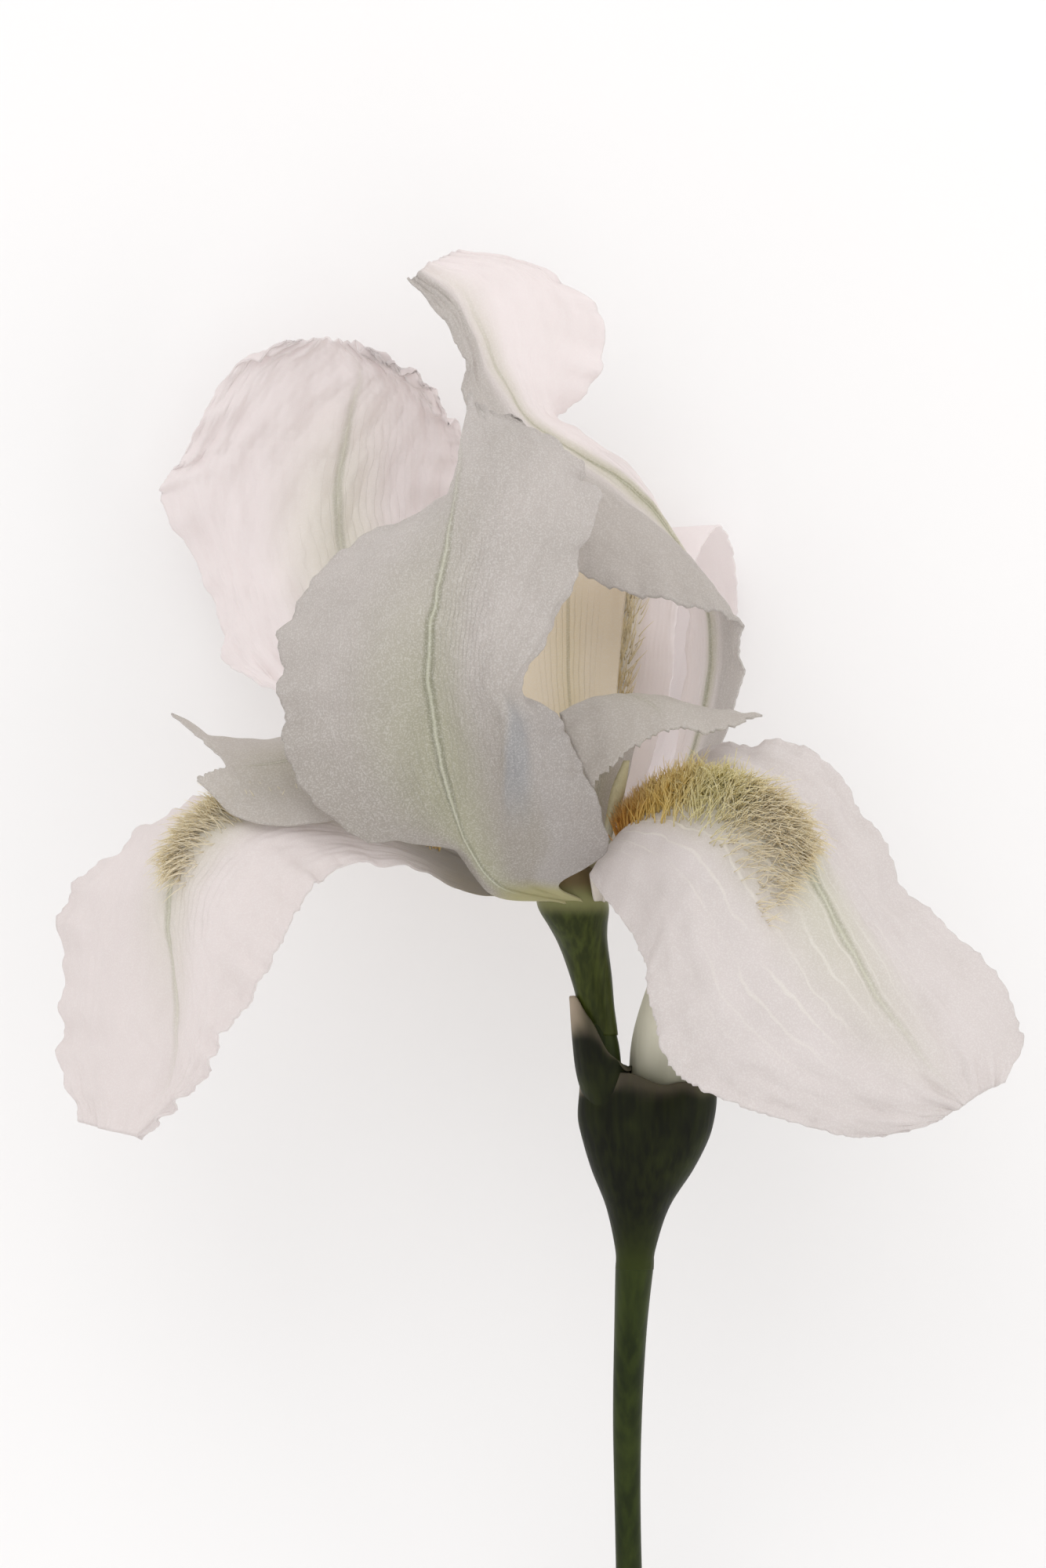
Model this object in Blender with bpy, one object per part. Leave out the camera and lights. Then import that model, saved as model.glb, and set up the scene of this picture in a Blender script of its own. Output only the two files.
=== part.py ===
"""A cut white bearded iris, lying on its back on a table.

The flower points along +Y, its front faces up (+Z) and the table is z = 0. Every shape is given in
millimetres from the middle of the perianth tube's rim, and the whole flower is set down at the end
with its lowest point on the table.
"""

import math

import bmesh
import bpy
import numpy as np

MM = 0.001
PETAL_THICK = 0.6
ARM_THICK = 0.5
SEAT_GAP = 0.3
BEARD_HEIGHT = 2.4
RIM_RING = 4.3          # radius of the ring of six petal claws on the tube's rim
STAMEN_RING = 2.9
ARM_RING = 1.3
PETAL_CLAW_HALF = 1.6    # half the width of a petal's claw, and below of a style arm's
ARM_CLAW_HALF = 0.9
HEAD_MIDDLE = (-6.8, 15.5, 14.0)
DEPTH_SPREAD = 1 / 1111  # how much wider the head gets for each millimetre towards its back
GRID_ALONG, GRID_ACROSS = 17, 11
RING_SIDES = 20
STEM_END = -150.0

FINISHES = {
    "petal": ((0.86, 0.84, 0.83), 0.55),
    "petal_shaded": ((0.72, 0.70, 0.67), 0.5),
    "crest": ((0.78, 0.76, 0.70), 0.5),
    "beard": ((0.75, 0.60, 0.22), 0.9),
    "stamen": ((0.80, 0.76, 0.55), 0.7),
    "stalk_green": ((0.10, 0.15, 0.035), 0.45),
    "sheath_green": ((0.13, 0.16, 0.05), 0.5),
    "bud_cream": ((0.74, 0.72, 0.58), 0.5),
}


def clear_scene():
    """Remove every object that the file opened with."""
    for thing in list(bpy.data.objects):
        bpy.data.objects.remove(thing, do_unlink=True)


def finish(name):
    """The Principled material of that name, made once."""
    material = bpy.data.materials.get(name)
    if material is None:
        colour, roughness = FINISHES[name]
        material = bpy.data.materials.new(name)
        material.use_nodes = True
        shader = material.node_tree.nodes["Principled BSDF"]
        shader.inputs["Base Color"].default_value = (*colour, 1)
        shader.inputs["Roughness"].default_value = roughness
        shader.inputs["Metallic"].default_value = 0.0
        material.diffuse_color = (*colour, 1)
    return material


def place(name, points, faces, material):
    """Make a smooth mesh object from points in millimetres and faces, turned to face outwards."""
    mesh = bpy.data.meshes.new(name)
    mesh.from_pydata([tuple(p) for p in np.asarray(points) * MM], [], faces)
    shape = bmesh.new()
    shape.from_mesh(mesh)
    bmesh.ops.recalc_face_normals(shape, faces=shape.faces)
    shape.to_mesh(mesh)
    shape.free()
    mesh.shade_smooth()
    thing = bpy.data.objects.new(name, mesh)
    bpy.context.scene.collection.objects.link(thing)
    mesh.materials.append(finish(material))
    return thing


def along(knots, t):
    """Read a smooth (Catmull-Rom) run through the knots at the fractions t from 0 to 1."""
    knots = np.asarray(knots, dtype=float)
    ends = np.concatenate([[2 * knots[0] - knots[1]], knots, [2 * knots[-1] - knots[-2]]])
    place_on = np.clip(t, 0, 1) * (len(knots) - 1)
    first = np.minimum(place_on.astype(int), len(knots) - 2)
    part = (place_on - first).reshape(-1, *([1] * (knots.ndim - 1)))
    a, b, c, d = (ends[first + k] for k in range(4))
    return 0.5 * (2 * b + (c - a) * part + (2 * a - 5 * b + 4 * c - d) * part**2
                  + (3 * b - a - 3 * c + d) * part**3)


def spread(points):
    """Spread points a little about the head's middle, in step with their depth behind it."""
    points = np.array(points, dtype=float)
    wider = 1 - (points[..., 2] - HEAD_MIDDLE[2]) * DEPTH_SPREAD
    for axis in (0, 1):
        points[..., axis] = HEAD_MIDDLE[axis] + (points[..., axis] - HEAD_MIDDLE[axis]) * wider
    return points


def sheet_points(formers, u, v):
    """The points of a sheet through the formers, at fractions u along it and v across it."""
    lengthwise = along(spread(formers), u)
    return np.swapaxes(along(np.swapaxes(lengthwise, 0, 1), v), 0, 1)


def sheet(name, formers, thickness, material):
    """A thin petal through its formers, each a row of points from one margin to the other."""
    points = sheet_points(formers, np.linspace(0, 1, GRID_ALONG), np.linspace(0, 1, GRID_ACROSS))
    faces = [
        (i * GRID_ACROSS + j, i * GRID_ACROSS + j + 1,
         (i + 1) * GRID_ACROSS + j + 1, (i + 1) * GRID_ACROSS + j)
        for i in range(GRID_ALONG - 1) for j in range(GRID_ACROSS - 1)
    ]
    thing = place(name, points.reshape(-1, 3), faces, material)
    thicken = thing.modifiers.new("thickness", "SOLIDIFY")
    thicken.thickness = thickness * MM
    thicken.offset = 0
    return thing


def ring(centre, half_wide, half_deep, tilt=0.0):
    """One oval ring round a mainly lengthwise axis, its plane leaning by tilt from left to right."""
    angle = np.linspace(0, 2 * math.pi, RING_SIDES, endpoint=False)
    across = half_wide * np.cos(angle)
    return np.stack([centre[0] + across, centre[1] + tilt * across,
                     centre[2] + half_deep * np.sin(angle)], axis=-1)


def ring_faces(count, closed_on_itself):
    """Quads between neighbouring rings, and between the last and the first if that closes it."""
    pairs = count if closed_on_itself else count - 1
    return [
        (i * RING_SIDES + j, i * RING_SIDES + (j + 1) % RING_SIDES,
         (i + 1) % count * RING_SIDES + (j + 1) % RING_SIDES, (i + 1) % count * RING_SIDES + j)
        for i in range(pairs) for j in range(RING_SIDES)
    ]


def stalk(name, sections, steps, material):
    """A solid stalk through sections (x, y, z, half width, half depth), with flat ends."""
    rows = along(sections, np.linspace(0, 1, steps))
    rings = [ring(row[:3], row[3], row[4]) for row in rows]
    faces = ring_faces(steps, False)
    faces += [tuple(range(RING_SIDES)), tuple((steps - 1) * RING_SIDES + j for j in range(RING_SIDES))]
    return place(name, np.concatenate(rings), faces, material)


def sheath(name, sections, wall, steps, material):
    """An open sleeve through sections (x, y, z, half width, half depth, tilt), wall thick."""
    rows = along(sections, np.linspace(0, 1, steps))
    outer = [ring(row[:3], row[3], row[4], row[5]) for row in rows]
    inner = [ring(row[:3], row[3] - wall, row[4] - wall, row[5]) for row in rows[::-1]]
    return place(name, np.concatenate(outer + inner), ring_faces(2 * steps, True), material)


def claw(azimuth, ring_radius, half_width, points):
    """The first former of a sheet: a straight row just clear of the tube's rim, at that bearing."""
    turn = math.radians(azimuth)
    side = np.linspace(-half_width, half_width, points)
    return np.stack([ring_radius * math.sin(turn) + side * math.cos(turn),
                     np.full(points, SEAT_GAP + PETAL_THICK / 2),
                     ring_radius * math.cos(turn) - side * math.sin(turn)], axis=-1)


def petal_sheet(name, azimuth, rows, material):
    """A standard or a fall: its claw on the rim, then its formers."""
    base = claw(azimuth, RIM_RING, PETAL_CLAW_HALF, len(rows[0]))
    return sheet(name, [base, *rows], PETAL_THICK, material)


def beard_pad(name, azimuth, rows, start, stop, half_width, side):
    """The beard's bulk: a low cushion just clear of the fall's upper face, along its midrib.

    side is 1 where the face looks along (lengthwise x crosswise), and -1 where it looks back.
    """
    base = claw(azimuth, RIM_RING, PETAL_CLAW_HALF, len(rows[0]))
    formers = [base, *rows]
    steps, lanes, reach = 12, 7, 1e-3
    u = np.linspace(start, stop, steps)
    v = 0.5 + np.linspace(-half_width, half_width, lanes)
    points = sheet_points(formers, u, v)
    ahead = sheet_points(formers, u + reach, v) - points
    aside = sheet_points(formers, u, v + reach) - points
    up = side * np.cross(ahead, aside)
    up /= np.linalg.norm(up, axis=-1, keepdims=True)
    clear = PETAL_THICK / 2 + SEAT_GAP
    lengthwise = np.sin(np.pi * np.linspace(0.08, 0.92, steps))[:, None]
    crosswise = np.cos(np.linspace(-1.2, 1.2, lanes))[None, :]
    low = points + up * clear
    high = points + up * (clear + BEARD_HEIGHT * lengthwise * crosswise)[..., None]
    count = steps * lanes
    faces = []
    for i in range(steps - 1):
        for j in range(lanes - 1):
            a, b = i * lanes + j, (i + 1) * lanes + j
            faces += [(a, a + 1, b + 1, b), (count + a, count + b, count + b + 1, count + a + 1)]
    edge = [j for j in range(lanes - 1)] + [i * lanes + lanes - 1 for i in range(steps - 1)]
    edge += [count - 1 - j for j in range(lanes - 1)] + [(steps - 1 - i) * lanes for i in range(steps - 1)]
    faces += [(a, b, count + b, count + a) for a, b in zip(edge, edge[1:] + edge[:1])]
    return place(name, np.concatenate([low.reshape(-1, 3), high.reshape(-1, 3)]), faces, "beard")


def stamen(name, azimuth, rows):
    """A filament that rises from inside the rim and widens into its anther."""
    turn = math.radians(azimuth)
    foot = (STAMEN_RING * math.sin(turn), SEAT_GAP, STAMEN_RING * math.cos(turn), 0.45, 0.45)
    return stalk(name, spread_sections([foot, *rows]), 12, "stamen")


def spread_sections(rows):
    """Spread the centres of stalk sections, leaving their half widths alone."""
    rows = np.array(rows, dtype=float)
    rows[:, :3] = spread(rows[:, :3])
    return rows


clear_scene()

# Front standard: folded along its midrib, left lobe wide, right margin curled and flared below.
petal_sheet("standard_front", -10, [
    [(-10.6, 1.4, 8), (-10.2, 1.8, 9), (-9.5, 2.5, 9.5), (-6, 3.2, 9), (-2.2, 2.8, 8)],
    [(-16, 7.2, 12), (-14.8, 7, 14), (-13.5, 7.5, 15), (-5.5, 8.5, 17), (4, 7.4, 14)],
    [(-27, 8.6, 20), (-21.5, 10.5, 21.5), (-16.1, 14, 22), (-7, 15, 26), (1.2, 15.3, 19)],
    [(-36, 16.5, 23), (-27, 18.5, 27), (-17.9, 21.5, 29), (-9, 21.5, 34), (-1.7, 22.8, 25)],
    [(-37.2, 26, 22), (-28.5, 27.5, 30), (-19, 29.5, 35), (-10.5, 28.5, 37), (-6.2, 29.3, 31)],
    [(-36.8, 36, 19), (-27.5, 37, 30), (-18.3, 36.5, 38), (-9.5, 36.5, 38), (-2.2, 37.5, 31)],
    [(-30, 45.8, 21), (-23.5, 45.5, 30), (-16.8, 44, 37), (-7, 45, 36), (1.2, 46.5, 29)],
    [(-18, 50, 22), (-17.2, 51, 28), (-15.2, 52.5, 32), (-6, 53, 32), (2, 53.5, 26)],
    [(-11.5, 57, 19), (-13.2, 58, 23), (-14.2, 59, 26), (-8.5, 60, 27), (-3, 59.6, 24)],
    [(-12.6, 64, 17.5), (-13.4, 64.4, 18), (-13.9, 65, 18.6), (-13, 64.3, 19.5), (-12, 63.6, 20.3)],
], "petal_shaded")

# Back left standard: broad, open and leaning away, its left side low.
petal_sheet("standard_back_left", -130, [
    [(-9, 8.5, -2.5), (-8, 8.8, -4.5), (-7, 9.2, -6), (-5.6, 9.6, -7), (-4.2, 9.8, -8)],
    [(-20, 17, -4), (-18.5, 18, -9.5), (-15.5, 19, -13), (-12, 19.5, -15.5), (-9, 19, -17)],
    [(-37.5, 26.5, -9), (-34, 27.5, -14), (-26, 30, -21), (-19, 30.5, -24), (-12.5, 29, -25)],
    [(-45, 31.5, -24), (-40, 37, -22), (-29.6, 44, -27), (-20.5, 44, -31), (-13, 42, -31)],
    [(-46, 39, -33), (-42.5, 44.5, -29), (-30.4, 52.5, -29.5), (-21.5, 53.5, -33), (-14.5, 53, -34)],
    [(-52.8, 51.5, -34), (-43, 54.5, -31), (-29.6, 59, -30), (-20.8, 60, -32), (-14.4, 59.8, -33)],
    [(-50.2, 57, -32), (-42, 61, -30), (-28.4, 64.5, -29), (-21, 65, -30), (-16.8, 63.2, -31)],
    [(-44.5, 67.5, -28), (-38, 69, -27.5), (-27.6, 68.5, -26.5), (-23.4, 68.6, -27), (-20, 67.2, -28)],
    [(-37, 72.2, -24.5), (-33.5, 72.4, -24), (-30.2, 71.8, -23.8), (-27.5, 71.2, -24), (-25.2, 70.2, -24.5)],
], "petal")

# Back right standard: its lobe folds forward and down, then it twists over the top of the head.
petal_sheet("standard_back_right", 110, [
    [(10.5, 8, 0.5), (10.2, 8, -1.6), (9.4, 8, -3.8), (8.8, 8.2, -5.8), (8.2, 8.5, -7.5)],
    [(16.5, 16, 0.5), (15.5, 16.4, -3), (14, 17, -6), (12.8, 17.3, -9), (12, 17.5, -11.5)],
    [(20, 25, -0.5), (18.8, 25.6, -4.5), (16.6, 26, -8.5), (15, 26.6, -12), (14, 27, -15.5)],
    [(20.8, 32, -1.5), (19.8, 33.2, -6), (17.4, 35, -10.5), (15.6, 36, -15), (14, 37, -19)],
    [(20.4, 36.6, -2), (18.4, 39.4, -6), (15.6, 41.5, -12), (13.6, 43.2, -17), (11, 44.5, -22)],
    [(15.6, 37.8, 1), (13.4, 44.6, -5), (12.2, 47, -13), (10.6, 50, -17.5), (7, 51, -22)],
    [(8.4, 39.4, 2.5), (7.2, 48.8, -4), (7.4, 52.6, -12), (7.4, 55.4, -16.5), (4, 55, -21)],
    [(1.6, 42, 0.5), (1.2, 52.6, -4.5), (1.8, 56.7, -11), (2.2, 59.2, -15.5), (-0.5, 58.5, -20.5)],
    [(-6, 52, -1), (-5.8, 57, -4.5), (-5.6, 61.6, -9.5), (-4, 63.2, -14.5), (-2, 62.6, -20)],
    [(-13.7, 64, -3), (-12, 65.6, -5.5), (-9.6, 67.5, -9), (-5, 68.5, -14), (2.6, 67, -19)],
    [(-14.6, 71, -4.5), (-13.6, 72, -6.5), (-12.2, 73.5, -9), (-5, 75.5, -14.5), (3.2, 74, -19.5)],
    [(-17.6, 75.6, -7), (-16.2, 77, -8.2), (-14.8, 78.6, -9.8), (-8, 81, -14), (-2.4, 80.6, -17.5)],
    [(-21.6, 79.4, -9.4), (-20.6, 80.2, -10), (-19.4, 81.4, -10.8), (-17.4, 82.6, -12.4), (-15, 83.7, -14.5)],
], "petal")

# Right fall: rises along its haft, arches over and hangs out to the right and the front.
RIGHT_FALL = [
    [(1.8, 4, 7.6), (3, 5.4, 6), (4.6, 6.2, 4.4), (5.8, 6, 3), (6.8, 5.8, 1.8)],
    [(2.6, 2.2, 14), (5, 8, 11), (8.2, 11.4, 7.8), (9.2, 12.4, 5.4), (10.2, 13, 3.4)],
    [(6.2, -2.4, 22), (9.4, 6.5, 18), (14, 14.5, 12), (15.2, 17.6, 8), (16.4, 19.6, 4.4)],
    [(9, -8.5, 28), (14, 2.5, 26), (20.5, 14, 18), (21.8, 17.8, 13), (23, 21, 8)],
    [(10, -14.6, 32), (18, -5, 31), (26.5, 9.8, 22.5), (28.6, 13, 15.5), (31, 18.9, 10)],
    [(12.4, -21, 34), (22, -12, 34.5), (31, 2, 26), (33.8, 5.6, 18.5), (37.4, 10, 12)],
    [(19, -24.8, 35.5), (27, -17.5, 35.5), (35.2, -5.8, 28.5), (38.4, -1, 20), (42.4, 2, 14)],
    [(29, -28, 35), (34, -22, 34.5), (40, -13.5, 30.5), (44.4, -8.5, 23.5), (50.4, -5.5, 17)],
    [(38, -29.8, 33), (41, -25.5, 33), (45, -20.5, 31), (50.4, -16.5, 26.5), (56.8, -15.5, 21)],
    [(45.4, -27.8, 31), (47.6, -26.6, 31), (49.8, -25.2, 30.5), (52.2, -23.6, 29), (54.6, -22.6, 27)],
]
petal_sheet("fall_right", 50, RIGHT_FALL, "petal_shaded")

# Left fall: its haft runs out to the left, then the blade hangs with a ridge down its middle.
LEFT_FALL = [
    [(-8.4, 3.6, -1), (-8.3, 3.4, 0.8), (-8.1, 2.8, 2.5), (-7.9, 2, 3.9), (-7.5, 1.1, 5)],
    [(-17, 7.2, -2), (-16.6, 7.4, 1.8), (-16, 6.6, 5.5), (-15.2, 4.2, 7.3), (-14, 1.8, 8)],
    [(-27.2, 11.6, -3), (-26.6, 12, 3), (-25.4, 10.6, 8.8), (-23.6, 7.6, 11), (-21, 4.8, 11.6)],
    [(-38.6, 14, -2.5), (-37.6, 14.2, 5), (-36, 12.6, 12.4), (-33, 9, 16), (-28.8, 5.2, 18)],
    [(-47.6, 13.2, -2), (-46.6, 13.4, 8), (-45, 11.4, 15.5), (-40.5, 7, 21), (-34, 1.6, 24.5)],
    [(-54, 10.8, -1), (-52.4, 10.2, 9), (-50.4, 6.6, 18), (-45.5, 0.5, 25), (-37.8, -4.8, 29.5)],
    [(-61.6, 5, -2.5), (-56.8, 4.4, 8.5), (-52, -0.5, 19), (-47, -6.5, 26.5), (-41.4, -11.4, 31.5)],
    [(-65.6, -1.4, -3), (-59, -4, 8.5), (-51.4, -8, 20), (-48.4, -13.5, 27), (-45, -17, 31)],
    [(-65, -11, -4), (-60, -13, 8), (-50.8, -15.5, 20.5), (-49.8, -19.8, 26), (-47.6, -22, 29)],
    [(-66, -19.5, -2), (-60.5, -20.5, 8), (-51.8, -22, 19.5), (-52, -24.6, 23.5), (-51.6, -26, 25.5)],
    [(-62.8, -27.6, 5), (-60, -28.6, 10), (-56.4, -29.4, 16.5), (-55.8, -29.6, 19), (-55, -29.6, 21)],
]
petal_sheet("fall_left", -70, LEFT_FALL, "petal")

# Back fall: arches over behind the head and lies along the table.
BACK_FALL = [
    [(-2.5, 10, -8.6), (0.2, 10, -8.6), (3, 10, -8.6), (5, 10, -8.4), (6.6, 10, -8)],
    [(-3, 20, -13), (0.6, 20, -13.2), (4.5, 20, -13.2), (7.4, 20, -12.8), (10, 20, -12)],
    [(-3.2, 30, -20), (1, 30, -20.2), (5.5, 30, -20.2), (9, 29.6, -19.4), (12.2, 29, -18)],
    [(-4.5, 40, -28), (0.8, 40, -28), (6.4, 39.4, -28), (10, 39, -27.4), (13, 38, -26)],
    [(-9, 47, -36), (-1.2, 47.2, -35.6), (6.8, 46.4, -35), (12, 47.6, -34), (17.4, 48.2, -33)],
    [(-13, 44, -42), (-3.5, 46, -41.6), (6.8, 45.6, -41), (13.4, 46, -40), (20, 44.5, -38.6)],
    [(-15, 34, -44.4), (-4.6, 37.4, -44.6), (6.5, 37.6, -44.6), (13.6, 37.4, -44), (20.4, 35, -42.4)],
    [(-13, 24, -45), (-3.6, 26.6, -45.2), (6, 27, -45.3), (12.4, 27.4, -45), (18, 27, -44)],
    [(-7, 15, -44.6), (-1.2, 15.8, -45), (5.5, 16.2, -45.3), (9.4, 17, -45), (13, 19, -44.6)],
    [(2, 9.4, -43.8), (3.8, 8.6, -44), (5.5, 8.4, -44.2), (7, 8.8, -44), (8.4, 9.8, -43.8)],
]
petal_sheet("fall_back", 170, BACK_FALL, "petal")

# The three style arms stand on the rim's middle, arch over the beards and end in two crests each.
ARMS = {
    "style_arm_right": (50, [
        [(-0.6, 8, 5), (0.8, 8.2, 3.8), (2, 8.2, 2.5), (3.1, 8, 1.2), (4, 7.6, -0.2)],
        [(-1.8, 16.5, 9), (0.6, 17, 7), (3, 17, 4.8), (5, 17, 2.8), (6.6, 16.6, 0.8)],
        [(-2, 24, 12.5), (1, 25.6, 10.6), (4.2, 26.2, 8.4), (7, 26, 6), (9.2, 25.4, 3.6)],
        [(-1.2, 22, 16), (4, 25, 14.2), (9, 26, 12), (13.6, 25.8, 9), (17, 24.8, 6)],
        [(1.8, 15.2, 18), (6.5, 19.6, 18), (12, 22.6, 16), (17.6, 22.2, 14), (23.6, 24.4, 12.4)],
    ]),
    "style_arm_left": (-70, [
        [(-6.6, 10, -1.5), (-6.4, 9.8, 0.3), (-6, 9.2, 2), (-5.6, 8.2, 3.4), (-5, 7, 4.6)],
        [(-16.6, 17.6, -0.6), (-16.5, 17.2, 2.6), (-16, 16, 5.4), (-15.2, 14.4, 7.6), (-14, 12.6, 9.2)],
        [(-27.6, 20.6, 1), (-27.4, 20.2, 6), (-27, 18.8, 10), (-26.4, 15.8, 13), (-25, 12.4, 15)],
        [(-37, 21.3, 3.6), (-36.8, 20.4, 8.6), (-36, 18.4, 13), (-35.4, 14.6, 16.4), (-34, 10.4, 18.4)],
        [(-45, 21.4, 4.6), (-43.4, 19.8, 9.8), (-42.4, 17.6, 15), (-42.6, 14.6, 18), (-42, 10.8, 20)],
        [(-52, 24.4, 4), (-47.4, 20.8, 9), (-44.6, 17.9, 15), (-46.2, 17.2, 17.2), (-48.6, 16, 18.8)],
    ]),
    "style_arm_back": (170, [
        [(-3.4, 10, -3.9), (-1.8, 10, -3.7), (0, 10, -3.5), (1.6, 10, -3.3), (3, 10, -3.1)],
        [(-6, 20, -7.8), (-3.4, 20, -7.4), (-0.5, 20, -7), (2.2, 20, -6.7), (4.6, 20, -6.5)],
        [(-7.6, 30, -14.2), (-4.6, 30, -13.6), (-1, 30, -13.2), (2.4, 30, -12.8), (5.4, 30, -12.6)],
        [(-8, 39, -21), (-5, 39.2, -20.6), (-1, 39.4, -20.2), (3, 39.2, -20), (6.2, 39, -20)],
        [(-8.2, 46, -29), (-5, 46, -28.4), (-0.8, 46, -28), (3.6, 46, -28), (7, 46, -28)],
        [(-7.4, 51.4, -34), (-4.4, 49.6, -31.6), (-0.6, 48.2, -30), (3, 49.6, -31), (6, 51.4, -33)],
    ]),
}
for arm_name, (bearing, arm_rows) in ARMS.items():
    foot_row = claw(bearing, ARM_RING, ARM_CLAW_HALF, len(arm_rows[0]))
    sheet(arm_name, [foot_row, *arm_rows], ARM_THICK, "crest")

# The three beards lie along the falls' hafts and run out on to the blades.
beard_pad("beard_right", 50, RIGHT_FALL, 0.16, 0.52, 0.1, 1)
beard_pad("beard_left", -70, LEFT_FALL, 0.2, 0.56, 0.09, 1)
beard_pad("beard_back", 170, BACK_FALL, 0.16, 0.5, 0.12, -1)

# One stamen stands under each style arm.
stamen("stamen_right", 50, [(3.4, 6.5, 3.4, 0.5, 0.5), (4.6, 11.5, 5.2, 0.8, 0.8),
                            (5.4, 15, 7, 0.9, 0.9), (6.4, 18.5, 9, 0.4, 0.4)])
stamen("stamen_left", -70, [(-6.8, 6.2, 2.4, 0.5, 0.5), (-11.5, 10, 3.8, 0.8, 0.8),
                            (-15.5, 12.2, 5, 0.9, 0.9), (-19.5, 13.8, 6.2, 0.4, 0.4)])
stamen("stamen_back", 170, [(1.2, 8, -6, 0.5, 0.5), (1.5, 14, -8.2, 0.8, 0.8),
                            (1.8, 18, -9.8, 0.9, 0.9), (2.2, 22, -12, 0.4, 0.4)])

# Perianth tube and the ovary under it.
stalk("perianth_tube", [
    (2.7, -15.4, -2.2, 2.4, 2.4), (2.4, -12, -1.9, 2.5, 2.5), (1.4, -7, -1.2, 2.9, 2.9),
    (0.4, -3, -0.5, 3.8, 3.8), (0, 0, 0, 4.7, 4.7),
], 10, "stalk_green")
stalk("ovary", [
    (7.2, -42.6, -6.6, 1.2, 1.2), (6, -36, -5.4, 2, 2), (4.9, -30, -4.4, 2.3, 2.3),
    (4, -24, -3.5, 2.4, 2.4), (3.2, -18.5, -2.7, 2.4, 2.4), (2.8, -15.8, -2.3, 2.3, 2.3),
], 12, "stalk_green")

# The bud still in its sheath, and the two sheathing leaves.
stalk("bud", [
    (10.3, -40.4, -6, 0.7, 0.7), (11.2, -36, -5.4, 1.8, 2), (12, -30, -4.8, 3, 3.2),
    (12.1, -24, -4.4, 3.7, 3.8), (11.9, -18, -4, 4.1, 4.1), (12.2, -12, -3.6, 3.4, 3.6),
    (12.9, -6, -3.4, 2.1, 2.3), (13.6, -1.5, -3.2, 0.5, 0.5),
], 16, "bud_cream")
sheath("spathe_inner", [
    (6.9, -41, -6.4, 1.9, 1.9, 0), (6, -36, -5.4, 2.7, 2.9, 0), (4.9, -30, -4.4, 3, 3.2, 0),
    (4.5, -27, -4, 3, 3.3, 0), (3.6, -22, -3.2, 3.5, 3.8, 0), (3.1, -17, -2.6, 3.7, 3.9, -0.1),
    (2.7, -13, -2.1, 3.4, 3.5, -0.25),
], 0.35, 14, "sheath_green")
sheath("spathe_outer", [
    (7.8, -45.1, -7.2, 2.6, 2.6, 0), (7.8, -42, -6.8, 3.6, 3.5, 0), (8.6, -36, -6, 6.4, 5, 0),
    (9, -32, -5.3, 8, 5.6, 0), (9.3, -28.5, -4.8, 9, 5.8, 0.12), (9.6, -25.8, -4.4, 9.3, 5.7, 0.22),
], 0.5, 12, "sheath_green")

# The stem, narrowed where the outer sheath wraps it, runs down to its cut end on the table.
stalk("stem", [
    (7.8, -43.2, -6.9, 1.7, 1.7), (7.8, -45, -7.2, 1.75, 1.75), (7.8, -45.5, -7.3, 2.5, 2.5),
    (7.6, -48, -7.8, 2.45, 2.45), (7.2, -56, -10, 2.15, 2.15), (6.9, -66, -13.5, 1.9, 1.9),
    (6.9, -76, -17.5, 1.75, 1.75), (7.2, -90, -23, 1.75, 1.75), (7.8, -110, -31, 1.85, 1.85),
    (8.6, -130, -38.6, 1.95, 1.95), (9.4, STEM_END, -43.7, 2, 2),
], 34, "stalk_green")

# Set the whole flower down with its lowest point on the table, over the middle of its box.
bpy.context.view_layer.update()
graph = bpy.context.evaluated_depsgraph_get()
corners = np.array([
    corner[:] for thing in bpy.data.objects for corner in thing.evaluated_get(graph).bound_box
])
low, high = corners.min(axis=0), corners.max(axis=0)
for thing in bpy.data.objects:
    thing.location = (-(low[0] + high[0]) / 2, -(low[1] + high[1]) / 2, -low[2])
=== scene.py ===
"""A cut white bearded iris that lies on its back on a pale table, looked down on from above."""

import math

import bmesh
import bpy
import numpy as np
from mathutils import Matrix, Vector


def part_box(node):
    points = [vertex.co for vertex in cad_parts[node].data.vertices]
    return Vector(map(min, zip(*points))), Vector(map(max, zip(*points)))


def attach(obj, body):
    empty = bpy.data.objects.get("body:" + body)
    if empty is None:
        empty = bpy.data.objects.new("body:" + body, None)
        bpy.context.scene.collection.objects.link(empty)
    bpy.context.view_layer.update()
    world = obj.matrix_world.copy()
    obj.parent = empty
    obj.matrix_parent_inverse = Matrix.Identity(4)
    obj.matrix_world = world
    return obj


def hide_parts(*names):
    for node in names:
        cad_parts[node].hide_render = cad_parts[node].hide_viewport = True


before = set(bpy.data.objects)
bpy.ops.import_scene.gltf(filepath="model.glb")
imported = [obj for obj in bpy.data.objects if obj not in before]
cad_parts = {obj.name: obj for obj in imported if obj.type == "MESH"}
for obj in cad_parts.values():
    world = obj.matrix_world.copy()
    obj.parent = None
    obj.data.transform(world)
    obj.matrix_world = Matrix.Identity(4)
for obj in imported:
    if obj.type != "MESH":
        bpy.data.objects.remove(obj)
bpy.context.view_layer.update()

# Green stem: a round, smooth stalk that narrows under the sheath and is cut square at its end.
# Everything is measured in millimetres from the heart, the middle of the perianth tube's rim.

MM = 0.001
TUBE_RIM = 4.7
tube_low, tube_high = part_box("perianth_tube")
HEART = np.array([tube_low[0] + TUBE_RIM * MM, tube_high[1], tube_high[2] - TUBE_RIM * MM])
ROUND = 2 * math.pi


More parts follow.
